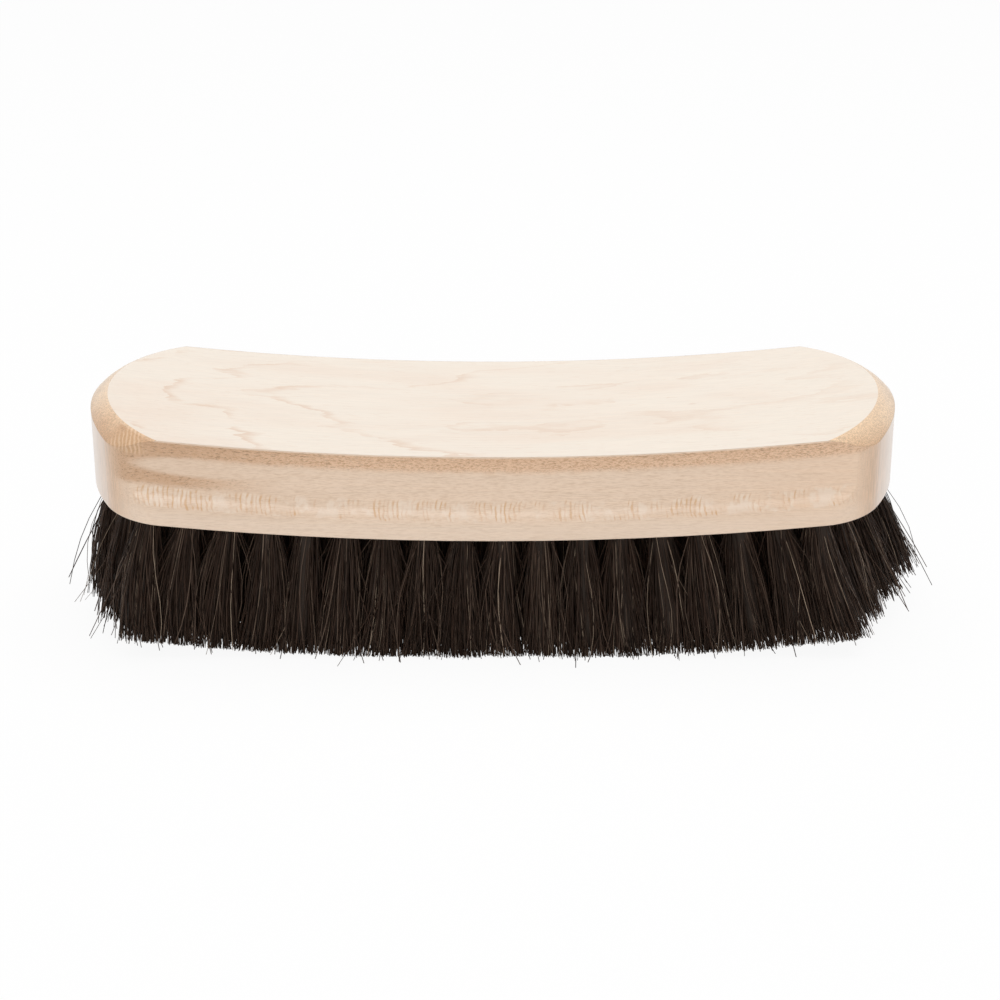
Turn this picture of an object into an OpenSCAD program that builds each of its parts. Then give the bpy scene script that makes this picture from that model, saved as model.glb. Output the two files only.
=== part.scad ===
/* [Block] */
// Length of the wooden block
block_l = 171.5; // [160:0.5:190]
// Width of the wooden block
block_w = 54; // [50:0.5:60]
// Thickness of the block at its middle
block_t = 19; // [17:0.5:24]
// Radius of the hollow that runs along the top
top_radius = 640; // [560:5:900]
// Radius of the bow that runs along the underside
under_radius = 680; // [600:5:950]
// Radius of each end, seen from above
end_radius = 42; // [38:1:60]
// Radius of the four corners, seen from above
corner_radius = 13; // [10:0.5:16]
// Length of each end over which its top edge is rounded off
end_round_reach = 17; // [15:0.5:18]
// Width of the rounding at the middle of each end
end_round_w = 3.6; // [2:0.2:4]
// Radius of the rounding in section
end_round_r = 10; // [10:0.5:14]
// Slope of the rounding where it meets the top, in degrees
end_round_slope = 30; // [20:1:30]

/* [Finger grooves] */
// Depth of the groove along each long side
groove_d = 1.5; // [0.75:0.25:2.5]
// Radius of the upper and lower corners of the groove
groove_r = 6; // [3:0.5:7]
// Flat edge left above the groove
groove_top_land = 0.3; // [0.2:0.1:2]
// Flat edge left below the groove
groove_low_land = 4.3; // [3:0.1:5]

/* [Tufts] */
// Spacing of the tufts along a row
tuft_pitch = 8.2; // [7.5:0.1:10]
// Spacing of the rows across the block
row_pitch = 8.6; // [7.5:0.1:8.8]
// Bore of the holes that hold the tufts
hole_d = 4.8; // [4:0.1:5.4]
// Depth of the holes, along the lean of the tuft
hole_depth = 11; // [8:0.5:13]
// Least distance from the middle of a hole to the edge of the block
hole_margin = 4.3; // [3.8:0.1:5.5]
// Clearance between a folded tuft and its hole
knot_gap = 0.1; // [0.05:0.05:0.3]
// Hair that shows below the middle of the block
hair_reveal = 27; // [20:0.5:36]
// Depth to which the trimmed hair is worn flat where the brush stands
stand_flat = 0.5; // [0.3:0.1:1]
// Lean of the last tufts towards the ends, in degrees
end_lean = 13; // [4:1:18]
// Lean of the outer rows towards the sides, in degrees
side_lean = 7; // [2:1:9]
// Gap between neighbouring locks of hair at their tips
lock_gap = 0.5; // [0.3:0.1:1.5]

/* [Staples] */
// Diameter of the staple wire
wire_d = 0.9; // [0.7:0.1:1.2]
// Width of a staple between the middles of its legs
staple_w = 2.8; // [2.4:0.1:3.2]
// Height of a staple's crown below the floor of its hole
staple_drop = 1.6; // [1.2:0.1:2.4]

/* [Hidden] */
rows = 6;
knot_show = 0.6;
lock_bury = 0.8;
lock_root_gap = 0.24;
wire_gap = 0.05;
past = 2;
turn_lap = 6;
stagger = 1 / 4;
big_fn = 720;
plan_fn = 96;
hole_fn = 24;
wire_fn = 16;

top_z = hair_reveal + block_t;
end_x = block_l / 2 - end_radius;
corner_y = block_w / 2 - corner_radius;
corner_x = end_x + sqrt(pow(end_radius - corner_radius, 2) - pow(corner_y, 2));
round_x = block_l / 2 - end_round_reach / 2;
round_tilt = asin(round_x / top_radius);
round_bow = end_round_reach - end_round_w;
round_arc = (pow(round_bow, 2) + pow(block_w / 2, 2)) / 2 / round_bow;
round_turn = asin(block_w / 2 / round_arc) + turn_lap;
groove_half = sqrt(2 * groove_r * groove_d - pow(groove_d, 2));
groove_high = top_radius + groove_top_land + groove_half;
groove_low = top_radius + block_t - groove_low_land - groove_half;
side_angle = asin((block_l / 2 + past) / top_radius);
last_x = end_x + sqrt(pow(end_radius - hole_margin, 2) - pow(row_pitch / 2, 2));
columns = 2 * floor(last_x / tuft_pitch + 1 - stagger);
row_reach = (rows - 1) / 2 * row_pitch;
column_reach = (columns - 1) / 2 * tuft_pitch;
knot_d = hole_d - 2 * knot_gap;
tip_pitch_x = tuft_pitch + hair_reveal * tan(end_lean) * tuft_pitch / column_reach;
tip_pitch_y = row_pitch + hair_reveal * tan(side_lean) * row_pitch / row_reach;
root_reach = knot_d / 2 / sqrt(2) - lock_root_gap / 2;
tip_reach = [tip_pitch_x, tip_pitch_y] / 2 - [lock_gap, lock_gap] / 2;
wire_bend = wire_d;

function column_name(kind, c) = str(kind, c < 10 ? "_0" : "_", c);

// Height of the underside and of the trimmed hair, at a place along the brush
function under_z(x) = hair_reveal + under_radius - sqrt(pow(under_radius, 2) - pow(x, 2));
function trim_z(x) = max(0, under_z(x) - hair_reveal - stand_flat);
function top_face_z(x) = top_z + top_radius - sqrt(pow(top_radius, 2) - pow(x, 2));

// The rows are staggered: each stands a quarter of a pitch to one side, turn about
function row_y(r) = (r - (rows + 1) / 2) * row_pitch;
function tuft_x(c, r) = (c - (columns + 1) / 2) * tuft_pitch + (r % 2 == 1 ? -1 : 1) * stagger * tuft_pitch;

// A tuft has its place only where its hole keeps its distance from the edge of the block
function in_end(x, y) = norm([x - end_x, y]) <= end_radius - hole_margin;
function in_corner(x, y) = norm([x - corner_x, y - corner_y]) <= corner_radius - hole_margin;
function on_side(x, y) = y <= block_w / 2 - hole_margin;
function in_corners(x, y) = x <= corner_x || y <= corner_y || in_corner(x, y);
function fits_block(x, y) = on_side(x, y) && in_end(max(x, end_x), y) && in_corners(x, y);
function has_tuft(c, r) = fits_block(abs(tuft_x(c, r)), abs(row_y(r)));

// Run of a tuft per unit of drop, along the brush and across it
function lean_x(x) = tan(end_lean * x / column_reach);
function lean_y(y) = tan(side_lean * y / row_reach);

module plan() {
  square([2 * corner_x, block_w], center = true);
  for (side_x = [-1, 1]) {
    for (side_y = [-1, 1]) {
      translate([side_x * corner_x, side_y * corner_y])
        circle(r = corner_radius, $fn = plan_fn);
    }
    mirror([side_x - 1, 0])
      intersection() {
        translate([end_x, 0])
          circle(r = end_radius, $fn = 2 * plan_fn);
        polygon([
          [end_x, 0],
          [corner_x, corner_y] * 2 - [end_x, 0],
          [block_l, 0],
          [2 * corner_x - end_x, -2 * corner_y]
        ]);
      }
  }
}

module roll(radius, height) {
  translate([0, 0, height + radius])
    rotate([90, 0, 0])
      cylinder(h = block_w + 2 * past, r = radius, center = true, $fn = big_fn);
}

// Section of the groove: a flat between two rounded corners
module groove_section() {
  wall_y = block_w / 2 - groove_d;
  for (reach = [groove_high, groove_low]) {
    translate([reach, wall_y + groove_r])
      circle(r = groove_r, $fn = plan_fn);
  }
  translate([groove_high, wall_y])
    square([groove_low - groove_high, 2 * groove_r]);
}

module groove() {
  translate([0, 0, top_z + top_radius])
    rotate([-90, 0, 0])
      rotate([0, 0, 90 - side_angle])
        rotate_extrude(angle = 2 * side_angle, $fn = big_fn)
          groove_section();
}

// Section of the waste over the rounding, out from the arc that is its inner edge
module round_section() {
  middle = [round_arc - end_round_r * sin(end_round_slope), -end_round_r * cos(end_round_slope)];
  difference() {
    translate(middle)
      square([end_round_r + past, past - middle.y]);
    translate(middle)
      circle(r = end_round_r, $fn = plan_fn);
  }
}

// Waste over the rounded top edge of one end, laid along the slope of the top there
module end_waste() {
  arc_x = block_l / 2 - end_round_w - round_arc;
  translate([round_x, 0, top_face_z(round_x)])
    rotate([0, -round_tilt, 0])
      translate([arc_x - round_x, 0, 0])
        rotate([0, 0, -round_turn])
          rotate_extrude(angle = 2 * round_turn, $fn = 2 * plan_fn)
            round_section();
}

// Puts a piece at the mouth of a hole, with its Z axis up along the lean of the tuft
module at_hole(x, y) {
  run = [lean_x(x), lean_y(y)];
  turn = atan2(run.y, run.x);
  translate([x, y, under_z(x)])
    rotate([0, 0, turn])
      rotate([0, -atan(norm(run)), 0])
        rotate([0, 0, -turn])
          children();
}

module hole() {
  translate([0, 0, -past])
    cylinder(h = hole_depth + past, d = hole_d, $fn = hole_fn);
}

module holes() {
  for (c = [1:columns]) {
    for (r = [1:rows]) {
      if (has_tuft(c, r)) {
        at_hole(tuft_x(c, r), row_y(r))
          hole();
      }
    }
  }
}

// Board hollowed along the top and bowed along the underside
module board() {
  difference() {
    intersection() {
      linear_extrude(height = top_z + block_t)
        plan();
      roll(under_radius, hair_reveal);
    }
    roll(top_radius, top_z);
  }
}

module grooved_board() {
  difference() {
    board();
    for (side_y = [0, 1]) {
      mirror([0, side_y, 0])
        groove();
    }
  }
}

module drilled_board() {
  difference() {
    grooved_board();
    holes();
  }
}

module block() {
  color("burlywood")
    difference() {
      drilled_board();
      for (side_x = [0, 1]) {
        mirror([side_x, 0, 0])
          end_waste();
      }
    }
}

// Four corners of a lock of hair at one level, in order round the lock and in the quarter it fans to
function quarter(way, inner, outer) = let (
  corners = [inner, [outer.x, inner.y], outer, [inner.x, outer.y]],
  order = way.x * way.y > 0 ? [0, 1, 2, 3] : [3, 2, 1, 0]
) [for (i = order) [way.x * corners[i].x, way.y * corners[i].y]];

// Place on the line of a tuft, at a drop below the underside
function on_tuft(x, y, drop) = [x + lean_x(x) * drop, y + lean_y(y) * drop];

// One lock of hair, from inside the knot to the trimmed face
module lock(x, y, way) {
  root_drop = knot_show - lock_bury;
  root = on_tuft(x, y, root_drop);
  tip = on_tuft(x, y, hair_reveal);
  gap = [1, 1] / 2;
  root_ring = quarter(way, gap * lock_root_gap, [root_reach, root_reach]);
  tip_ring = quarter(way, gap * lock_gap, tip_reach);
  points = concat(
    [for (p = root_ring) [root.x + p.x, root.y + p.y, under_z(x) - root_drop]],
    [for (p = tip_ring) [tip.x + p.x, tip.y + p.y, trim_z(tip.x + p.x)]]
  );
  sides = [for (i = [0:3]) let (j = (i + 1) % 4) each [[i, j, j + 4], [i, j + 4, i + 4]]];
  ends = [[0, 3, 2], [0, 2, 1], [4, 5, 6], [4, 6, 7]];
  polyhedron(points = points, faces = concat(sides, ends));
}

// Folded root of a tuft, which fills its hole round the staple
module knot() {
  difference() {
    translate([0, 0, -knot_show])
      cylinder(h = hole_depth - knot_gap + knot_show, d = knot_d, $fn = hole_fn);
    staple(wire_d + 2 * wire_gap);
  }
}

module tuft(x, y) {
  union() {
    at_hole(x, y)
      knot();
    for (way = [[1, 1], [-1, 1], [-1, -1], [1, -1]]) {
      lock(x, y, way);
    }
  }
}

module tufts(c) {
  color("#2b211b")
    for (r = [1:rows]) {
      if (has_tuft(c, r)) {
        tuft(tuft_x(c, r), row_y(r));
      }
    }
}

// Bent wire that pins the fold of a tuft, with its legs up to the floor of the hole
module staple(d) {
  crown_z = hole_depth - staple_drop;
  translate([0, 0, crown_z])
    rotate([90, 0, 0])
      cylinder(h = staple_w - 2 * wire_bend, d = d, center = true, $fn = wire_fn);
  for (side_y = [0, 1]) {
    mirror([0, side_y, 0])
      translate([0, staple_w / 2 - wire_bend, crown_z + wire_bend]) {
        rotate([0, 90, 0])
          rotate_extrude(angle = 90, $fn = 2 * wire_fn)
            translate([wire_bend, 0])
              circle(d = d, $fn = wire_fn);
        translate([0, wire_bend, 0])
          cylinder(h = staple_drop - wire_bend, d = d, $fn = wire_fn);
      }
  }
}

module staples(c) {
  color("silver")
    for (r = [1:rows]) {
      if (has_tuft(c, r)) {
        at_hole(tuft_x(c, r), row_y(r))
          staple(wire_d);
      }
    }
}

block();
for (c = [1:columns]) {
  tufts(c);
  staples(c);
}
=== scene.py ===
import math

import bpy
import numpy as np
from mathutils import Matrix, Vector


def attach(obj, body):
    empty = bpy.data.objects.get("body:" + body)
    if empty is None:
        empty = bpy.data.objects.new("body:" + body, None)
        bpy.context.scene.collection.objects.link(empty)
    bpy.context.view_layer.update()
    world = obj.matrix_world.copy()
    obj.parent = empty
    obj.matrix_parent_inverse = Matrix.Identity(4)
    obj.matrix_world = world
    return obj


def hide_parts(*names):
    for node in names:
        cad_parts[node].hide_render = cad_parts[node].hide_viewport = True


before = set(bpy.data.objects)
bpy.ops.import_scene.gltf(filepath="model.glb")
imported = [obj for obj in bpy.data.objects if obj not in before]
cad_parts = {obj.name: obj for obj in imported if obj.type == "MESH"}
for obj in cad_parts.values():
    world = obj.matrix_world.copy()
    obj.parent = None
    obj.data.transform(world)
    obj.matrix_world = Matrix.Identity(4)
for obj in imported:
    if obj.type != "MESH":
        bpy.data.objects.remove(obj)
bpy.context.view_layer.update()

bl_info = {
    "name": "Shoe Shine Brush",
    "version": (1, 0, 0),
    "blender": (4, 5, 0),
    "location": "View3D > Sidebar > Brush",
    "description": "Maple shoe shine brush with staple-set horsehair tufts",
    "category": "Object",
}

MM = 0.001
WHITE = (1.0, 1.0, 1.0, 1.0)

# Small tones, as linear colours
PIT_BROWN = (0.3, 0.17, 0.085, 1.0)
DASH_BROWN = (0.24, 0.13, 0.06, 1.0)
WARM_SHEEN = (1.0, 0.84, 0.72, 1.0)
DULL_STEEL = (0.16, 0.15, 0.14, 1.0)
PAPER_FIBRE = (0.8, 0.8, 0.8, 1.0)

# Places in the wood, in millimetres
PIN_KNOT = (-79.9, -21.4, 48.2)
PITH_HEIGHT = -8.0  # of the line round which the rings grew, at the middle of the brush
PITH_SLOPE = 0.09  # rise of that line along the brush
PITH_SIDE = -3.0  # place of that line across the brush, a little to the front
SOUND_MIDDLE = (-60.0, 6.0)  # of the sound oval in the torn patch, along and below the top
SOUND_REACH = (14.0, 2.1)  # from its middle to its edge, along and up

# Lay of the hairs, in millimetres
HOLE_GAP = 0.2  # between the hairs and the wall of their hole
HAIR_START = 3.0  # how far up in the hole a hair begins
STRAY_SPREAD = 4.0  # of the tips that stray
WORN_SHORT = 9.0  # most that a broken hair is short
FLOOR_GAP = 0.02  # least height of a tip above the floor

# Lay of the hairs, as shares
TIP_OVERLAP = 1.05  # reach of the tips, of half the way to the next tuft
LOOSE_SHARE = 0.3  # hairs that bow more than the rest
WORN_SHARE = 0.05  # hairs that are broken short
PALE_TONE = 0.86  # where the pale hairs begin in the scale of tones
PALE_WIDTH = 0.65  # width of a pale hair beside a dark one
TIP_TAPER = 0.85  # width of a hair at its tip
HAIR_STEPS = 9  # points along a hair's path

# Packed middle of a tuft, in millimetres: how deep its rings are, how far the last two
# stay above the trimmed tips, and the radius of every ring
CORE_DEPTHS = (-4.0, 0.0, 6.0, 13.0, 20.0)
CORE_ENDS = (2.4, 1.2)
CORE_RADII = (2.2, 2.28, 2.28, 2.3, 2.6, 3.2, 3.6, 2.0)

# Stage, in metres, and the width of the camera's frame in millimetres
FLOOR_SIZE = 8.0
FRAME_WIDTH = 36.0
NEAREST, FARTHEST = 0.01, 20.0
LAMP_AIM = (0.0, 0.0, 0.03)
TOP_LAMP = {"place": (0.05, 0.1, 0.9), "size": (0.9, 0.7)}
FRONT_LAMP = {"place": (-0.25, -0.9, 0.45), "size": (0.8, 0.5)}


def colour(name, description, red, green, blue):
    """Colour property, written in 0 to 255 as it looks on the object."""
    return bpy.props.FloatVectorProperty(
        name=name,
        description=description,
        subtype="COLOR",
        size=3,
        min=0.0,
        max=1.0,
        default=[linear(c / 255) for c in (red, green, blue)],
    )


def linear(value):
    """Screen value of a colour channel as the linear value that a shader takes."""
    return value / 12.92 if value <= 0.04045 else ((value + 0.055) / 1.055) ** 2.4


def length(name, description, millimetres):
    """Length property, written in millimetres."""
    return bpy.props.FloatProperty(
        name=name,
        description=description,
        default=millimetres * MM,
        min=0.0,
        precision=5,
        unit="LENGTH",
    )


class BrushBlockSettings(bpy.types.PropertyGroup):
    """Sizes and finish of the maple block."""

    long: length("Length", "Length of the block", 171.5)
    wide: length("Width", "Width of the block", 54)
    end_radius: length("End radius", "Radius of the ends, seen from above", 42)
    corner_radius: length("Corner radius", "Radius of the corners, seen from above", 13)
    under_height: length("Underside height", "Height of the middle of the underside above the floor", 27)
    thickness: length("Thickness", "Thickness of the block at its middle", 19)
    top_radius: length("Hollow", "Radius of the hollow along the top", 640)
    under_radius: length("Bow", "Radius of the bow along the underside", 680)
    edge_soft: length("Edge softness", "Radius of the sanded edges", 0.35)
    ring_gap: length("Ring spacing", "Spacing of the growth rings", 5.2)
    strip_low: length("Torn strip", "How far the torn grain runs down from the top edge", 4.3)
    fleck_low: length("Fleck band bottom", "Lower edge of the fleck band above the underside", 4.4)
    fleck_high: length("Fleck band top", "Upper edge of the fleck band above the underside", 8.6)
    maple: colour("Maple top", "Pale sanded top of the block", 238, 225, 209)
    smudge: colour("Smudge", "Pinkish tan clouds in the wood", 233, 210, 190)
    ring: colour("Late wood", "Fine line that ends each year's growth", 222, 192, 166)
    side: colour("Maple side", "Long sides of the block", 242, 215, 189)
    side_dash: colour("Side grain", "Short dashes of open grain on the sides", 214, 180, 148)
    torn: colour("Torn grain", "Tan of the torn grain along the groove", 246, 208, 174)
    torn_dark: colour("Dark torn grain", "Dark of the torn grain at its worst", 198, 155, 116)
    end_grain: colour("End grain", "Wood cut across, over the ends", 236, 203, 166)
    end_deep: colour("Deep end grain", "Deepest tan of the wood cut across", 208, 164, 122)
    fleck_dark: colour("Fleck", "Dark of the ray flecks", 213, 160, 99)
    fleck_pale: colour("Pale fleck", "Light between the ray flecks", 244, 224, 204)
    lacquer_rough: bpy.props.FloatProperty(
        name="Lacquer roughness", description="Roughness of the satin lacquer", default=0.24, min=0.0, max=1.0
    )


class BrushHairSettings(bpy.types.PropertyGroup):
    """Sizes, number and colours of the hair."""

    columns: bpy.props.IntProperty(name="Columns", description="Columns of tufts along the brush", default=20)
    rows: bpy.props.IntProperty(name="Rows", description="Rows of tufts across the brush", default=6)
    tuft_pitch: length("Tuft spacing", "Spacing of the tufts along a row", 8.2)
    row_pitch: length("Row spacing", "Spacing of the rows", 8.6)
    hole_width: length("Hole", "Bore of the holes", 4.8)
    hole_margin: length("Hole margin", "Least distance from a hole's middle to the edge of the block", 4.3)
    knot_depth: length("Knot depth", "Depth of the knot under the staple", 8.6)
    reveal: length("Reveal", "Hair that shows below the middle of the block", 27)
    end_lean: bpy.props.FloatProperty(
        name="End lean", description="Lean of the last tufts", default=math.radians(13), subtype="ANGLE"
    )
    side_lean: bpy.props.FloatProperty(
        name="Side lean", description="Lean of the outer rows", default=math.radians(7), subtype="ANGLE"
    )
    stand_flat: length("Flat", "Depth to which the trimmed hair is worn flat", 0.5)
    trim_half: length("Trim", "Half of the width to which the sides of the hair are trimmed", 27.2)
    sweep: length("Sweep", "How far use has swept the tips at both ends towards the right", 2.6)
    hairs: bpy.props.IntProperty(name="Hairs", description="Hairs of a tuft", default=390, min=20, max=700)
    hair_width: length("Hair width", "Width of one hair", 0.22)
    stray_share: bpy.props.FloatProperty(
        name="Strays",
        description="Share of the hairs that stray from their tuft",
        default=0.08,
        min=0.0,
        max=1.0,
    )
    pale_share: bpy.props.FloatProperty(
        name="Pale hairs", description="Share of the hairs that are pale", default=0.06, min=0.0, max=1.0
    )
    seed: bpy.props.IntProperty(name="Seed", description="Seed of the lay of the hair", default=11)
    black: colour("Black hair", "Darkest hair", 21, 11, 6)
    brown: colour("Brown hair", "Usual hair", 47, 30, 21)
    grey: colour("Grey hair", "Faded hair", 102, 85, 73)
    straw: colour("Straw hair", "Few pale hairs", 176, 156, 136)


class BrushStapleSettings(bpy.types.PropertyGroup):
    """Finish of the staples."""

    steel: colour("Steel", "Drawn steel wire", 168, 166, 162)


class BrushStageSettings(bpy.types.PropertyGroup):
    """Camera, floor and lamps."""

    camera_rise: bpy.props.FloatProperty(
        name="Camera rise",
        description="Angle of the camera above the floor",
        default=math.radians(24.41),
        subtype="ANGLE",
    )
    camera_reach: length("Camera distance", "Distance of the camera from the brush", 553.5)
    lens: bpy.props.FloatProperty(name="Lens", description="Focal length in millimetres", default=91.3)
    aim_x: length("Aim along", "Where the camera points along the brush", 1.53)
    aim_z: length("Aim height", "Height at which the camera points", 24.16)
    floor: colour("Floor", "White paper", 250, 250, 250)
    floor_glow: bpy.props.FloatProperty(
        name="Floor glow", description="Share of plain white that the camera sees on the floor", default=0.92
    )
    sky: bpy.props.FloatProperty(
        name="Room light", description="Strength of the light of the room", default=0.44
    )
    top_lamp: bpy.props.FloatProperty(
        name="Top lamp", description="Power of the lamp overhead", default=5.2
    )
    front_lamp: bpy.props.FloatProperty(
        name="Front lamp", description="Power of the lamp in front", default=1.9
    )


class Nodes:
    """Node tree of a material or of the room, built a node at a time."""

    def __init__(self, owner):
        self.owner = owner
        owner.use_nodes = True
        self.tree = owner.node_tree
        self.tree.nodes.clear()

    def add(self, kind, inputs=(), **settings):
        """Adds a node, sets it up and fills its sockets with values or links."""
        node = self.tree.nodes.new(kind)
        for name, value in settings.items():
            setattr(node, name, value)
        for name, value in dict(inputs).items():
            if isinstance(value, bpy.types.NodeSocket):
                self.tree.links.new(value, node.inputs[name])
            else:
                node.inputs[name].default_value = value
        return node

    def math(self, operation, first, second=0.0, third=0.0):
        """One sum on sockets or numbers."""
        return self.add("ShaderNodeMath", {0: first, 1: second, 2: third}, operation=operation).outputs[0]

    def product(self, first, *others):
        """Sockets or numbers multiplied."""
        for other in others:
            first = self.math("MULTIPLY", first, other)
        return first

    def apart(self, value, middle):
        """Distance of a value from a middle."""
        return self.math("ABSOLUTE", self.math("SUBTRACT", value, middle))

    def ramp_mask(self, value, low, high, start=0.0, end=1.0):
        """Soft step from start to end while the value goes from low to high."""
        node = self.add(
            "ShaderNodeMapRange",
            {"Value": value, "From Min": low, "From Max": high, "To Min": start, "To Max": end},
            interpolation_type="SMOOTHSTEP",
        )
        return node.outputs[0]

    def fade_out(self, value, low, high):
        """Soft step from 1 down to 0 while the value goes from low to high."""
        return self.ramp_mask(value, low, high, 1.0, 0.0)

    def stretched(self, vector, scale):
        """The place vector stretched by a scale for each axis."""
        return self.add("ShaderNodeVectorMath", {0: vector, 1: scale}, operation="MULTIPLY").outputs[0]

    def millimetres(self):
        """Place on the object, in millimetres."""
        return self.stretched(self.add("ShaderNodeTexCoord").outputs["Object"], (1 / MM, 1 / MM, 1 / MM))

    def noise(self, vector, scale, detail=3.0, rough=0.55, distortion=0.0):
        """Value noise at a place vector stretched by a scale for each axis."""
        node = self.add(
            "ShaderNodeTexNoise",
            {
                "Vector": self.stretched(vector, scale),
                "Scale": 1.0,
                "Detail": detail,
                "Roughness": rough,
                "Distortion": distortion,
            },
        )
        return node.outputs["Fac"]

    def blend(self, factor, first, second, mode="MIX"):
        """Mix of two colours."""
        node = self.add("ShaderNodeMix", data_type="RGBA", blend_type=mode)
        for socket, value in ((node.inputs[0], factor), (node.inputs[6], first), (node.inputs[7], second)):
            if isinstance(value, bpy.types.NodeSocket):
                self.tree.links.new(value, socket)
            else:
                socket.default_value = value
        return node.outputs[2]

    def finish(self, shader):
        """Links the shader to the output and gives the material."""
        self.add("ShaderNodeOutputMaterial", {"Surface": shader})
        return self.owner


def rgba(value):
    """Colour property as a colour socket takes it."""
    return (*value, 1.0)


class Board:
    """Sockets for where a point of the block is, in millimetres, and for how it faces."""

    def __init__(self, f, wood):
        self.place = f.millimetres()
        self.x, self.y, self.z = f.add("ShaderNodeSeparateXYZ", {0: self.place}).outputs
        self.reach_x = f.math("ABSOLUTE", self.x)
        square_x = f.product(self.x, self.x)
        middle_top = (wood.under_height + wood.thickness) / MM
        top_face = f.math("MULTIPLY_ADD", square_x, MM / 2 / wood.top_radius, middle_top)
        under_face = f.math("MULTIPLY_ADD", square_x, MM / 2 / wood.under_radius, wood.under_height / MM)
        self.below_top = f.math("SUBTRACT", top_face, self.z)
        self.above_under = f.math("SUBTRACT", self.z, under_face)
        facing = f.add("ShaderNodeSeparateXYZ", {0: f.add("ShaderNodeNewGeometry").outputs["Normal"]}).outputs
        self.facing_x, self.facing_z = facing[0], facing[2]
        self.on_top = f.ramp_mask(self.facing_z, 0.9, 0.98)
        self.off_top = f.math("SUBTRACT", 1.0, self.on_top)


def growth_rings(f, wood, at):
    """Thin uneven lines where rings round a pith far under the board come out through its hollow top."""
    pith_rise = f.math("SUBTRACT", at.z, f.math("MULTIPLY_ADD", at.x, PITH_SLOPE, PITH_HEIGHT))
    pith_side = f.math("SUBTRACT", at.y, PITH_SIDE)
    reach = f.math("SQRT", f.math("MULTIPLY_ADD", pith_rise, pith_rise, f.product(pith_side, pith_side)))
    warp = f.math("MULTIPLY_ADD", f.noise(at.place, (0.02, 0.055, 0.055), 2.0), 16.0, reach)
    jag = f.math("MULTIPLY_ADD", f.noise(at.place, (0.16, 0.5, 0.5), 4.0, 0.6), 2.2, warp)
    turn = f.math("FRACT", f.math("DIVIDE", jag, wood.ring_gap / MM))
    line = f.product(f.ramp_mask(turn, 0.78, 0.97), f.fade_out(turn, 0.97, 1.0))
    fade = f.ramp_mask(f.noise(at.place, (0.05, 0.14, 0.14), 3.0, 0.6), 0.4, 0.62)
    return f.product(line, fade, f.ramp_mask(at.x, -70.0, 80.0, 0.85, 0.3))


def sanded_wood(f, wood, at):
    """Colour of the sanded top and sides, and the sockets of their long streaks and short dashes."""
    clouds = f.ramp_mask(f.noise(at.place, (0.022, 0.075, 0.075), 3.0, 0.5, 0.4), 0.42, 0.75)
    streaks = f.noise(at.place, (0.045, 1.9, 1.9), 5.0, 0.62)
    dashes = f.ramp_mask(f.noise(at.place, (0.3, 3.2, 3.2), 2.0, 0.5), 0.58, 0.72)
    fine = f.ramp_mask(f.noise(at.place, (0.7, 5.5, 5.5), 3.0, 0.6), 0.42, 0.68)

    top = f.blend(f.product(clouds, 0.55), rgba(wood.maple), rgba(wood.smudge))
    top = f.blend(growth_rings(f, wood, at), top, rgba(wood.ring))
    top = f.blend(f.product(dashes, 0.3), top, rgba(wood.ring))

    # The sides are warmer, with more of the open grain
    side = f.blend(f.product(clouds, 0.25), rgba(wood.side), rgba(wood.side_dash))
    side = f.blend(f.product(dashes, 0.45), side, rgba(wood.side_dash))
    side = f.blend(f.product(fine, 0.5), side, rgba(wood.side_dash))
    side = f.blend(f.ramp_mask(at.x, 30.0, 78.0, 0.0, 0.35), side, rgba(wood.torn))
    side = f.blend(f.ramp_mask(at.above_under, 2.0, 5.0, 0.3, 0.0), side, rgba(wood.fleck_pale))

    tone = f.blend(at.on_top, side, top)
    tone = f.blend(1.0, tone, f.ramp_mask(streaks, 0.3, 0.7, 0.965, 1.02), "MULTIPLY")
    return tone, streaks, dashes


def rounded_ends(f, at):
    """Mask of the rounding over each end."""
    sloped = f.product(f.ramp_mask(at.facing_z, 0.08, 0.3), f.ramp_mask(at.reach_x, 67.0, 69.0))
    return f.product(at.off_top, sloped, f.fade_out(at.below_top, 6.0, 7.0))


def end_grain(f, wood, at, over_end, tone):
    """Lays wood cut across its fibres over the rounding of each end and the end walls, with one pin knot."""
    end_wall = f.ramp_mask(f.math("ABSOLUTE", at.facing_x), 0.35, 0.9)
    cut_across = f.math("MAXIMUM", over_end, f.product(end_wall, 0.7))
    deepness = f.math("MULTIPLY_ADD", at.below_top, 0.35, f.product(at.x, -0.005))
    deepness = f.math("MULTIPLY_ADD", at.y, -0.06, deepness)
    deepness = f.math("MULTIPLY_ADD", f.noise(at.place, (0.12, 0.12, 0.12), 3.0), 1.6, deepness)
    end_tone = f.blend(f.ramp_mask(deepness, 1.5, 3.6), rgba(wood.end_grain), rgba(wood.end_deep))
    end_lines = f.noise(at.place, (3.4, 4.4, 0.25), 3.0, 0.6)
    end_tone = f.blend(1.0, end_tone, f.ramp_mask(end_lines, 0.4, 0.6, 0.78, 1.12), "MULTIPLY")
    tone = f.blend(cut_across, tone, end_tone)
    from_knot = f.add("ShaderNodeVectorMath", {0: at.place, 1: PIN_KNOT}, operation="DISTANCE").outputs["Value"]
    return f.blend(f.ramp_mask(from_knot, 0.3, 1.1, 0.6, 0.0), tone, rgba(wood.torn_dark))


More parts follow.
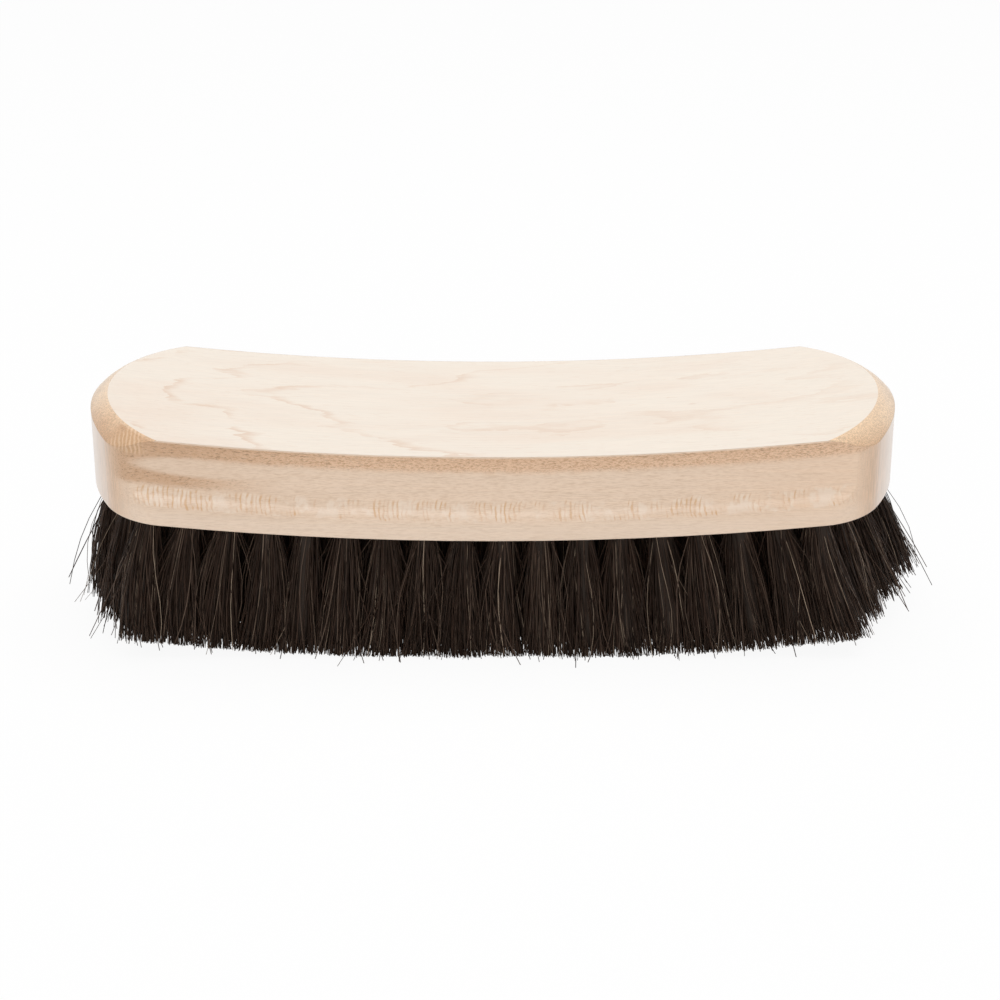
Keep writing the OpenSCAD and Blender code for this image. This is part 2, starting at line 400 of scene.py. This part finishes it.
def ray_flecks(f, wood, at, tone):
    """Lays a band of ray flecks in the lower corner of the groove: clusters of thin upright arcs."""
    low, high = wood.fleck_low / MM, wood.fleck_high / MM
    uneven = f.math("ADD", at.above_under, -1.1)
    height = f.math("MULTIPLY_ADD", f.noise(at.place, (0.45, 0.45, 0.2), 3.0), 2.2, uneven)
    band = f.product(
        f.ramp_mask(height, low - 0.3, low + 0.3),
        f.fade_out(height, high - 0.9, high + 0.1),
        f.fade_out(at.reach_x, 72.0, 76.5),
    )
    from_middle = f.math("SUBTRACT", at.above_under, (low + high) / 2)
    bowed_x = f.math("MULTIPLY_ADD", f.product(from_middle, from_middle), -0.09, at.x)
    bowed = f.add("ShaderNodeCombineXYZ", {0: bowed_x, 1: at.y, 2: f.product(at.z, 0.3)}).outputs[0]
    arcs = f.add(
        "ShaderNodeTexWave",
        {
            "Vector": bowed,
            "Scale": 0.31,
            "Distortion": 8.0,
            "Detail": 3.0,
            "Detail Scale": 0.9,
            "Detail Roughness": 0.7,
        },
        wave_type="BANDS",
        bands_direction="X",
    ).outputs["Fac"]

    # The clusters stand closer towards both ends
    clusters = f.noise(at.place, (0.13, 0.1, 0.1), 3.0, 0.6)
    clusters = f.math("ADD", clusters, f.ramp_mask(f.apart(at.x, 10.0), 40.0, 85.0, 0.0, 0.1))
    each_line = f.ramp_mask(f.noise(at.place, (1.1, 0.3, 0.35), 2.0, 0.6), 0.35, 0.62, 0.25, 1.0)
    dark = f.product(f.ramp_mask(arcs, 0.45, 0.9), f.ramp_mask(clusters, 0.44, 0.56), each_line)
    pale = f.ramp_mask(f.noise(at.place, (0.3, 0.1, 0.3), 3.0, 0.65), 0.45, 0.6)
    tone = f.blend(f.product(pale, band, 0.6), tone, rgba(wood.fleck_pale))
    return f.blend(f.product(dark, band, 0.65), tone, rgba(wood.fleck_dark))


def torn_places(f, wood, at, over_end):
    """Masks of the torn strip in the upper corner of the groove, and of all torn grain."""
    strip_low = wood.strip_low / MM
    uneven = f.math("ADD", at.below_top, -0.6)
    ragged = f.math("MULTIPLY_ADD", f.noise(at.place, (0.35, 0.35, 0.35), 3.0), 1.2, uneven)
    under_edge = f.ramp_mask(at.below_top, 0.2, 0.4)
    strip = f.product(
        under_edge,
        f.fade_out(ragged, strip_low - 1.2, strip_low + 0.6),
        f.fade_out(at.reach_x, 78.0, 83.0),
        f.math("MULTIPLY_ADD", over_end, -0.9, 1.0),
    )

    # The patch where the groove runs out at its left end leaves an oval of sound wood in its middle
    oval_x = f.math("DIVIDE", f.math("SUBTRACT", at.x, SOUND_MIDDLE[0]), SOUND_REACH[0])
    oval_z = f.math("DIVIDE", f.math("SUBTRACT", at.below_top, SOUND_MIDDLE[1]), SOUND_REACH[1])
    oval = f.math("MULTIPLY_ADD", oval_x, oval_x, f.product(oval_z, oval_z))
    patch = f.product(
        f.ramp_mask(at.x, -80.0, -76.0),
        f.fade_out(at.x, -66.0, -42.0),
        f.fade_out(ragged, 9.6, 11.4),
        under_edge,
        f.ramp_mask(oval, 0.5, 1.5, 0.0, 0.95),
        f.fade_out(at.y, -20.0, -18.0),
    )
    return strip, f.math("MAXIMUM", strip, patch)


def torn_grain(f, wood, at, torn, sand, tone):
    """Lays the tan of the torn grain, darker at the left and more pitted towards both ends."""
    wear_left = f.ramp_mask(at.x, -72.0, -18.0, 0.74, 0.12)
    dark = f.math("MAXIMUM", f.product(f.ramp_mask(sand, 0.44, 0.62), 0.95), wear_left)
    torn_tone = f.blend(dark, rgba(wood.torn), rgba(wood.torn_dark))
    tone = f.blend(f.product(torn, f.ramp_mask(sand, 0.25, 0.55, 0.6, 0.95)), tone, torn_tone)
    pits = f.product(
        f.ramp_mask(f.noise(at.place, (0.9, 2.6, 2.6), 3.0, 0.7), 0.53, 0.66),
        f.ramp_mask(f.apart(at.x, 20.0), 10.0, 80.0, 0.35, 1.0),
        f.fade_out(at.x, 72.0, 77.0),
    )
    return f.blend(f.product(torn, pits, 0.65), tone, PIT_BROWN)


def corner_arcs(f, wood, at, tone):
    """Lays a row of arcs where the rounding of the left end meets the side."""
    place = f.product(
        f.ramp_mask(at.x, -82.0, -80.0),
        f.fade_out(at.x, -73.0, -71.0),
        f.fade_out(at.y, -22.6, -20.6),
        f.fade_out(at.below_top, 3.4, 4.6),
        at.off_top,
    )
    turn = f.math("FRACT", f.math("MULTIPLY_ADD", at.x, 1.15, f.noise(at.place, (0.5, 0.5, 0.5), 2.0)))
    line = f.ramp_mask(f.apart(turn, 0.5), 0.18, 0.38)
    arc_tone = f.blend(line, rgba(wood.end_deep), rgba(wood.end_grain))
    return f.blend(f.product(place, 0.6), tone, arc_tone)


def edge_dashes(f, at, strip, tone):
    """Lays short dark dashes in the torn strip, close under the top edge."""
    dashes = f.product(
        f.ramp_mask(f.noise(at.place, (0.55, 2.6, 2.6), 3.0, 0.6), 0.54, 0.66),
        f.ramp_mask(at.below_top, 0.6, 1.9, 0.8, 0.0),
        f.product(strip, f.ramp_mask(at.reach_x, 10.0, 45.0, 0.3, 1.0)),
        f.fade_out(at.reach_x, 72.0, 77.0),
    )
    return f.blend(f.product(dashes, 0.75), tone, DASH_BROWN)


def maple_finish(wood):
    """Pale maple under satin lacquer: rings, streaks, flecks, torn grain and end grain."""
    f = Nodes(bpy.data.materials.new("lacquered_maple"))
    at = Board(f, wood)
    tone, streaks, dashes = sanded_wood(f, wood, at)
    over_end = rounded_ends(f, at)
    tone = end_grain(f, wood, at, over_end, tone)
    tone = ray_flecks(f, wood, at, tone)
    strip, torn = torn_places(f, wood, at, over_end)
    sand = f.noise(at.place, (1.3, 3.6, 3.6), 4.0, 0.78, 0.3)
    tone = torn_grain(f, wood, at, torn, sand, tone)
    tone = corner_arcs(f, wood, at, tone)
    tone = edge_dashes(f, at, strip, tone)

    # Relief: open streaks and dashes, deeper where the grain is torn
    relief = f.math("MULTIPLY_ADD", streaks, 0.2, f.product(dashes, -0.12))
    relief = f.math("ADD", relief, f.product(sand, torn, 2.6))
    soft_edge = f.add("ShaderNodeBevel", {"Radius": wood.edge_soft}, samples=6).outputs[0]
    bump = f.add(
        "ShaderNodeBump", {"Strength": 0.6, "Distance": 0.1 * MM, "Height": relief, "Normal": soft_edge}
    ).outputs[0]
    shader = f.add(
        "ShaderNodeBsdfPrincipled",
        {
            "Base Color": tone,
            "Roughness": f.math("ADD", f.ramp_mask(streaks, 0.3, 0.7, 0.44, 0.52), f.product(torn, 0.2)),
            "Specular IOR Level": 0.4,
            "Coat Weight": f.math("MULTIPLY_ADD", torn, -0.5, 0.9),
            "Coat Roughness": wood.lacquer_rough,
            "Coat IOR": 1.62,
            "Normal": bump,
            "Coat Normal": soft_edge,
        },
    ).outputs[0]

    # Upright walls that turn away from the eye mirror the white room
    turned_away = f.add("ShaderNodeLayerWeight", {"Blend": 0.5, "Normal": soft_edge}).outputs["Facing"]
    wall = f.fade_out(f.math("ABSOLUTE", at.facing_z), 0.1, 0.3)
    wall_gloss = f.product(f.ramp_mask(turned_away, 0.45, 0.95, 0.0, 0.34), wall)
    gloss = f.add("ShaderNodeBsdfGlossy", {"Color": WHITE, "Roughness": 0.3, "Normal": soft_edge}).outputs[0]
    return f.finish(f.add("ShaderNodeMixShader", {0: wall_gloss, 1: shader, 2: gloss}).outputs[0])


def hair_finish(hair):
    """Dark horsehair: each hair has its own tone, with a dull sheen along it."""
    f = Nodes(bpy.data.materials.new("horsehair"))
    tone = f.add("ShaderNodeAttribute", attribute_name="hair_tone").outputs["Fac"]
    ramp = f.add("ShaderNodeValToRGB", {"Fac": tone})
    stops = ramp.color_ramp.elements
    stops[0].color = rgba(hair.black)
    stops[1].color = rgba(hair.straw)
    stops.new(0.45).color = rgba(hair.brown)
    stops.new(0.88).color = rgba(hair.grey)
    place = f.millimetres()
    along = f.ramp_mask(f.noise(place, (1.2, 1.2, 0.25), 2.0), 0.3, 0.7, 0.8, 1.2)
    tint = f.blend(1.0, ramp.outputs[0], along, "MULTIPLY")
    rough = f.ramp_mask(f.noise(place, (0.4, 0.4, 0.1), 2.0), 0.3, 0.7, 0.38, 0.55)
    shader = f.add(
        "ShaderNodeBsdfPrincipled",
        {
            "Base Color": tint,
            "Roughness": rough,
            "Specular IOR Level": 0.34,
            "Specular Tint": WARM_SHEEN,
        },
    ).outputs[0]
    return f.finish(shader)


def steel_finish(staple):
    """Drawn steel wire, dulled along its length."""
    f = Nodes(bpy.data.materials.new("drawn_steel"))
    place = f.millimetres()
    scratches = f.noise(place, (6.0, 0.8, 0.8), 3.0, 0.6)
    tint = f.blend(f.ramp_mask(scratches, 0.35, 0.7, 0.0, 0.4), rgba(staple.steel), DULL_STEEL)
    rough = f.ramp_mask(scratches, 0.3, 0.7, 0.28, 0.45)
    shader = f.add("ShaderNodeBsdfPrincipled", {"Base Color": tint, "Metallic": 1.0, "Roughness": rough})
    return f.finish(shader.outputs[0])


def put_finish(piece, material):
    """Gives a piece or CAD node one material."""
    piece.data.materials.clear()
    piece.data.materials.append(material)


def nodes_named(start):
    """CAD nodes whose names start with a word, in order."""
    return [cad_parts[name] for name in sorted(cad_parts) if name.startswith(start)]


def leave_nothing_selected():
    """Leaves edit mode and deselects everything."""
    if bpy.context.mode != "OBJECT":
        bpy.ops.object.mode_set(mode="OBJECT")
    bpy.ops.object.select_all(action="DESELECT")


class Strand:
    """Corners and faces of one straight strand of unit length and unit radius, with rings along it."""

    def __init__(self, sides, cuts, closed):
        leave_nothing_selected()
        bpy.ops.mesh.primitive_cylinder_add(
            vertices=sides,
            radius=1.0,
            depth=1.0,
            location=(0.0, 0.0, 0.5),
            end_fill_type="NGON" if closed else "NOTHING",
        )
        made = bpy.context.object
        bpy.ops.object.mode_set(mode="EDIT")
        bpy.ops.mesh.select_all(action="DESELECT")
        bpy.ops.mesh.select_mode(type="EDGE")
        bpy.ops.object.mode_set(mode="OBJECT")
        for edge in made.data.edges:
            first, second = (made.data.vertices[i].co for i in edge.vertices)
            upright = abs(first.z - second.z) > 0.5
            edge.select = upright
        bpy.ops.object.mode_set(mode="EDIT")
        bpy.ops.mesh.subdivide(number_cuts=cuts)
        bpy.ops.mesh.select_all(action="SELECT")
        bpy.ops.mesh.quads_convert_to_tris()
        bpy.ops.object.mode_set(mode="OBJECT")
        made.data.transform(made.matrix_world)
        self.corners = np.array([v.co for v in made.data.vertices])
        self.faces = np.array([p.vertices for p in made.data.polygons])
        bpy.data.objects.remove(made)

    def laid(self, path, radii, turn):
        """Corners of every strand of a batch, laid along its own path of points, with radii and a turn."""
        levels = np.linspace(0.0, 1.0, path.shape[1])
        at = np.interp(self.corners[:, 2], levels, np.arange(path.shape[1]))
        low = np.minimum(at.astype(int), path.shape[1] - 2)
        share = (at - low)[None, :, None]
        middle = path[:, low] * (1 - share) + path[:, low + 1] * share
        radius = radii[:, low] * (1 - share[..., 0]) + radii[:, low + 1] * share[..., 0]
        cos, sin = np.cos(turn)[:, None], np.sin(turn)[:, None]
        across_x = self.corners[None, :, 0] * cos - self.corners[None, :, 1] * sin
        across_y = self.corners[None, :, 0] * sin + self.corners[None, :, 1] * cos
        middle[..., 0] += across_x * radius
        middle[..., 1] += across_y * radius
        return middle


class Filling:
    """Places and lean of the tufts, by the same sums as the holes of the block. All in millimetres."""

    def __init__(self, hair, wood):
        self.pitch = hair.tuft_pitch / MM
        self.row_pitch = hair.row_pitch / MM
        self.columns = hair.columns
        self.rows = hair.rows
        self.reveal = hair.reveal / MM
        self.under_radius = wood.under_radius / MM
        self.margin = hair.hole_margin / MM
        self.half_wide = wood.wide / 2 / MM
        self.end_radius = wood.end_radius / MM
        self.corner_radius = wood.corner_radius / MM
        self.end_x = wood.long / 2 / MM - self.end_radius
        self.corner_y = self.half_wide - self.corner_radius
        corner_reach = self.end_radius - self.corner_radius
        self.corner_x = self.end_x + math.sqrt(corner_reach**2 - self.corner_y**2)
        self.flat = hair.stand_flat / MM
        self.row_reach = (self.rows - 1) / 2 * self.row_pitch
        self.column_reach = (self.columns - 1) / 2 * self.pitch
        self.end_lean = hair.end_lean
        self.side_lean = hair.side_lean
        half = np.array([self.pitch, self.row_pitch]) / 2
        fan = self.reveal * np.tan([self.end_lean, self.side_lean])
        self.tip_reach = half * (1 + fan / np.array([self.column_reach, self.row_reach]))

    def under_z(self, x):
        """Height of the bowed underside."""
        return self.reveal + self.under_radius - np.sqrt(self.under_radius**2 - x**2)

    def trim_z(self, x):
        """Height to which the tips are trimmed, following the bow down to the worn flat."""
        return np.maximum(0.0, self.under_z(x) - self.reveal - self.flat)

    def lean(self, x, y):
        """Slopes of a tuft along and across the brush."""
        return np.tan([self.end_lean * x / self.column_reach, self.side_lean * y / self.row_reach])

    def drop(self, x, y):
        """Depth of a tuft's trimmed tips below the underside at its hole."""
        return self.under_z(x) - self.trim_z(x + self.lean(x, y)[0] * self.reveal)

    def place(self, column, row):
        """Place of a hole. Rows are shifted by a quarter of the spacing, in turn to the left and right."""
        side = -1 if row % 2 == 1 else 1
        x = (column - (self.columns + 1) / 2) * self.pitch + side * self.pitch / 4
        return x, (row - (self.rows + 1) / 2) * self.row_pitch

    def fits(self, x, y):
        """Whether a hole here keeps its distance from the edge of the block."""
        x, y = abs(x), abs(y)
        in_end = math.hypot(max(x - self.end_x, 0.0), y) <= self.end_radius - self.margin
        by_corner = x > self.corner_x and y > self.corner_y
        in_corner = math.hypot(x - self.corner_x, y - self.corner_y) <= self.corner_radius - self.margin
        return y <= self.half_wide - self.margin and in_end and (in_corner or not by_corner)

    def tufts(self, column):
        """Row and place of each tuft of a column."""
        places = [(row, *self.place(column, row)) for row in range(1, self.rows + 1)]
        return [(row, x, y) for row, x, y in places if self.fits(x, y)]


def hair_path(filling, hair, rng, x, y, count):
    """Paths, radii and tones of the hairs of one tuft."""
    # Roots in a disc of radius 1, tips in a rounded square, and strays further out
    away = np.sqrt(rng.random(count))
    around = rng.random(count) * 2 * math.pi
    root = np.stack([away * np.cos(around), away * np.sin(around)], 1)
    square = np.maximum(np.abs(np.cos(around)), np.abs(np.sin(around)))[:, None] ** 0.8
    endness = (x / filling.column_reach) ** 2
    tip = root / square * filling.tip_reach * TIP_OVERLAP + rng.normal(0.0, 0.7 + 0.5 * endness, (count, 2))
    tip += rng.normal(0.0, 0.25, 2) + np.array([hair.sweep / MM * endness, 0.0])
    stray = rng.random(count) < hair.stray_share
    tip[stray] += rng.normal(0.0, STRAY_SPREAD, (int(stray.sum()), 2))

    # Bow and wave on the way down
    bow = rng.normal(0.0, 0.3, (count, 2)) + root * 0.6 + rng.normal(0.0, 0.4, 2)
    loose = rng.random(count) < LOOSE_SHARE
    bow[loose] += rng.normal(0.0, 0.9, (int(loose.sum()), 2))
    bow[stray] += rng.normal(0.0, 1.6, (int(stray.sum()), 2))
    wave = rng.normal(0.0, 0.28, (count, 2))

    # The sides of the hair are trimmed, and a few hairs are broken short
    root *= hair.hole_width / MM / 2 - HOLE_GAP
    slope = filling.lean(x, y)
    full_drop = filling.drop(x, y)
    tip_y = y + slope[1] * full_drop + tip[:, 1]
    over = np.maximum(np.abs(tip_y) - hair.trim_half / MM, 0.0)
    tip[:, 1] -= np.sign(tip_y) * over * np.where(stray, 0.55, 0.75)
    tip_x = x + slope[0] * full_drop + tip[:, 0]
    short = np.abs(rng.normal(0.0, 0.16, count)) + rng.random() * 0.25
    worn = rng.random(count) < WORN_SHARE
    short[worn] += rng.random(int(worn.sum())) * WORN_SHORT
    drop = filling.under_z(x) - np.maximum(filling.trim_z(tip_x) + short, FLOOR_GAP)

    steps = np.linspace(0.0, 1.0, HAIR_STEPS)
    run = -HAIR_START + (drop[:, None] + HAIR_START) * steps[None, :]
    share = np.clip(run / full_drop, 0.0, 1.0)
    spread = share ** rng.uniform(1.0, 1.7, count)[:, None]
    path = np.empty((count, len(steps), 3))
    for axis, start in enumerate((x, y)):
        path[..., axis] = (
            start
            + slope[axis] * run
            + root[:, axis, None] * (1 - spread)
            + tip[:, axis, None] * spread
            + bow[:, axis, None] * np.sin(math.pi * share)
            + wave[:, axis, None] * np.sin(2 * math.pi * share)
        )
    path[..., 2] = filling.under_z(x) - run

    width = hair.hair_width / MM / 2 * rng.uniform(0.75, 1.25, count)[:, None]
    tone = np.clip(rng.beta(1.7, 3.0, count), 0.0, PALE_TONE)
    pale = rng.random(count) < hair.pale_share
    tone[pale] = rng.uniform(PALE_TONE, 1.0, int(pale.sum()))
    width[pale] *= PALE_WIDTH
    radii = width * np.append(np.ones(len(steps) - 1), TIP_TAPER)[None, :]
    return path, radii, tone


def core_path(filling, hair, x, y):
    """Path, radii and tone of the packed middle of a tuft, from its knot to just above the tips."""
    slope = filling.lean(x, y)
    drop = filling.drop(x, y)
    run = np.array([-hair.knot_depth / MM, *CORE_DEPTHS, *(drop - end for end in CORE_ENDS)])
    half = hair.trim_half / MM - max(CORE_RADII)
    middle_y = np.clip(y + slope[1] * run, -half, half)
    swept = hair.sweep / MM * (x / filling.column_reach) ** 2 * np.clip(run / drop, 0.0, 1.0) ** 1.4
    path = np.stack([x + slope[0] * run + swept, middle_y, filling.under_z(x) - run], 1)
    # A tone of 0 gives the core the black of the darkest hair, so it shows between the hairs as painted shade
    # inside the tuft
    return path[None], np.array([CORE_RADII]), np.zeros(1)


def strands_mesh(name, batches):
    """One mesh of all batches of strands, with a tone for each corner."""
    corners, faces, tones, base = [], [], [], 0
    for strand, placed, tone in batches:
        count, size = placed.shape[:2]
        offsets = base + np.arange(count)[:, None, None] * size
        corners.append(placed.reshape(-1, 3) * MM)
        faces.append((strand.faces[None] + offsets).reshape(-1, 3))
        tones.append(np.repeat(tone, size))
        base += count * size
    corners, faces, tones = np.concatenate(corners), np.concatenate(faces), np.concatenate(tones)
    mesh = bpy.data.meshes.new(name)
    mesh.vertices.add(len(corners))
    mesh.vertices.foreach_set("co", corners.ravel())
    mesh.loops.add(faces.size)
    mesh.loops.foreach_set("vertex_index", faces.ravel())
    mesh.polygons.add(len(faces))
    mesh.polygons.foreach_set("loop_start", np.arange(len(faces)) * 3)
    mesh.polygons.foreach_set("use_smooth", np.ones(len(faces), bool))
    mesh.update(calc_edges=True)
    mesh.attributes.new("hair_tone", "FLOAT", "POINT").data.foreach_set("value", tones)
    return mesh


class BRUSH_OT_block(bpy.types.Operator):
    """Lacquers the maple block"""

    bl_idname = "brush.block"
    bl_label = "Maple block"

    def execute(self, context):
        material = maple_finish(context.scene.brush_block)
        blocks = nodes_named("block")
        if not blocks:
            raise RuntimeError("the frame has no block")
        for block in blocks:
            put_finish(block, material)
        return {"FINISHED"}


class BRUSH_OT_hair(bpy.types.Operator):
    """Fills the block with its tufts of hair, a column at a time"""

    bl_idname = "brush.hair"
    bl_label = "Horsehair tufts"

    def execute(self, context):
        hair = context.scene.brush_hair
        filling = Filling(hair, context.scene.brush_block)
        material = hair_finish(hair)
        thin = Strand(sides=3, cuts=5, closed=False)
        core = Strand(sides=12, cuts=6, closed=True)
        count = hair.hairs
        for column in range(1, hair.columns + 1):
            batches = []
            for row, x, y in filling.tufts(column):
                rng = np.random.default_rng([hair.seed, column, row])
                path, radii, tone = hair_path(filling, hair, rng, x, y, count)
                turn = rng.random(count) * 2 * math.pi
                batches.append((thin, thin.laid(path, radii, turn), tone))
                path, radii, tone = core_path(filling, hair, x, y)
                batches.append((core, core.laid(path, radii, np.zeros(1)), tone))
            if not batches:
                raise RuntimeError(f"column {column} has no tufts")
            name = f"hair_{column:02d}"
            piece = bpy.data.objects.new(name, strands_mesh(name, batches))
            context.scene.collection.objects.link(piece)
            put_finish(piece, material)
            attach(piece, "root")
            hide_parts(f"tufts_{column:02d}")
        return {"FINISHED"}


class BRUSH_OT_staples(bpy.types.Operator):
    """Gives the staples their drawn steel"""

    bl_idname = "brush.staples"
    bl_label = "Wire staples"

    def execute(self, context):
        material = steel_finish(context.scene.brush_staples)
        for staples in nodes_named("staples_"):
            put_finish(staples, material)
        return {"FINISHED"}


def room_light(stage):
    """White room, plain to the camera and in reflections, softer as light."""
    world = bpy.data.worlds.new("white_room")
    bpy.context.scene.world = world
    f = Nodes(world)
    rays = f.add("ShaderNodeLightPath").outputs
    through = f.math("ADD", rays["Is Camera Ray"], rays["Is Transmission Ray"])
    seen = f.add("ShaderNodeMath", {0: through, 1: rays["Is Glossy Ray"]}, operation="ADD", use_clamp=True)
    soft = f.add("ShaderNodeBackground", {"Color": WHITE, "Strength": stage.sky}).outputs[0]
    plain = f.add("ShaderNodeBackground", {"Color": WHITE}).outputs[0]
    mixed = f.add("ShaderNodeMixShader", {0: seen.outputs[0], 1: soft, 2: plain}).outputs[0]
    f.add("ShaderNodeOutputWorld", {"Surface": mixed})


def floor_finish(stage):
    """White paper that the camera sees almost plain white, with the shadow of the brush on it."""
    f = Nodes(bpy.data.materials.new("white_paper"))
    rays = f.add("ShaderNodeLightPath").outputs
    fibre = f.noise(f.add("ShaderNodeTexCoord").outputs["Object"], (300.0, 300.0, 300.0), 2.0)
    paper = f.blend(f.ramp_mask(fibre, 0.4, 0.6, 0.0, 0.02), rgba(stage.floor), PAPER_FIBRE)
    dull = f.add("ShaderNodeBsdfDiffuse", {"Color": paper}).outputs[0]
    glow = f.add("ShaderNodeEmission", {"Color": WHITE, "Strength": 1.0}).outputs[0]
    seen = f.product(rays["Is Camera Ray"], stage.floor_glow)
    lit = f.add("ShaderNodeMixShader", {0: seen, 1: dull, 2: glow}).outputs[0]
    clear = f.add("ShaderNodeBsdfTransparent").outputs[0]
    below = f.product(f.add("ShaderNodeNewGeometry").outputs["Backfacing"], rays["Is Camera Ray"])
    return f.finish(f.add("ShaderNodeMixShader", {0: below, 1: lit, 2: clear}).outputs[0])


def aim(thing, target):
    """Turns a lamp or camera towards a place."""
    thing.rotation_euler = (Vector(target) - thing.location).to_track_quat("-Z", "Y").to_euler()


def soft_lamp(name, power, place, size):
    """Large soft lamp, turned towards the brush."""
    bpy.ops.object.light_add(type="AREA", location=place)
    lamp = bpy.context.object
    lamp.name = name
    lamp.data.shape = "RECTANGLE"
    lamp.data.size, lamp.data.size_y = size
    lamp.data.energy = power
    aim(lamp, LAMP_AIM)
    return lamp


class BRUSH_OT_stage(bpy.types.Operator):
    """Lays the floor, hangs the lamps and sets the camera"""

    bl_idname = "brush.stage"
    bl_label = "Stage"

    def execute(self, context):
        stage = context.scene.brush_stage
        scene = context.scene
        leave_nothing_selected()
        bpy.ops.mesh.primitive_plane_add(size=FLOOR_SIZE, location=(0.0, 0.0, 0.0))
        floor = context.object
        floor.name = "floor"
        put_finish(floor, floor_finish(stage))
        room_light(stage)
        top_lamp = soft_lamp("top_lamp", stage.top_lamp, **TOP_LAMP)
        top_lamp.visible_glossy = False
        soft_lamp("front_lamp", stage.front_lamp, **FRONT_LAMP)
        rise, reach = stage.camera_rise, stage.camera_reach
        goal = Vector((stage.aim_x, 0.0, stage.aim_z))
        bpy.ops.object.camera_add(location=goal + Vector((0.0, -math.cos(rise), math.sin(rise))) * reach)
        camera = context.object
        camera.data.lens = stage.lens
        camera.data.sensor_width = FRAME_WIDTH
        camera.data.clip_start, camera.data.clip_end = NEAREST, FARTHEST
        aim(camera, goal)
        scene.camera = camera
        scene.view_settings.view_transform = "Standard"
        return {"FINISHED"}


class BRUSH_PT_panel(bpy.types.Panel):
    """Lists the steps that make the brush"""

    bl_idname = "BRUSH_PT_panel"
    bl_label = "Shoe shine brush"
    bl_space_type = "VIEW_3D"
    bl_region_type = "UI"
    bl_category = "Brush"

    def draw(self, context):
        for step in (BRUSH_OT_block, BRUSH_OT_hair, BRUSH_OT_staples, BRUSH_OT_stage):
            self.layout.operator(step.bl_idname)
        for name, group in SETTINGS.items():
            box = self.layout.box()
            for setting in group.__annotations__:
                box.prop(getattr(context.scene, name), setting)


CLASSES = (
    BrushBlockSettings,
    BrushHairSettings,
    BrushStapleSettings,
    BrushStageSettings,
    BRUSH_OT_block,
    BRUSH_OT_hair,
    BRUSH_OT_staples,
    BRUSH_OT_stage,
    BRUSH_PT_panel,
)
SETTINGS = {
    "brush_block": BrushBlockSettings,
    "brush_hair": BrushHairSettings,
    "brush_staples": BrushStapleSettings,
    "brush_stage": BrushStageSettings,
}


def register():
    """Registers the classes and hangs their settings on the scene."""
    for cls in CLASSES:
        bpy.utils.register_class(cls)
    for name, group in SETTINGS.items():
        setattr(bpy.types.Scene, name, bpy.props.PointerProperty(type=group))


def unregister():
    """Takes the settings and classes away again."""
    for name in SETTINGS:
        delattr(bpy.types.Scene, name)
    for cls in reversed(CLASSES):
        bpy.utils.unregister_class(cls)


def main():
    """Builds the brush and its stage."""
    register()
    bpy.ops.brush.block()
    bpy.ops.brush.hair()
    bpy.ops.brush.staples()
    bpy.ops.brush.stage()


if __name__ == "__main__":
    main()
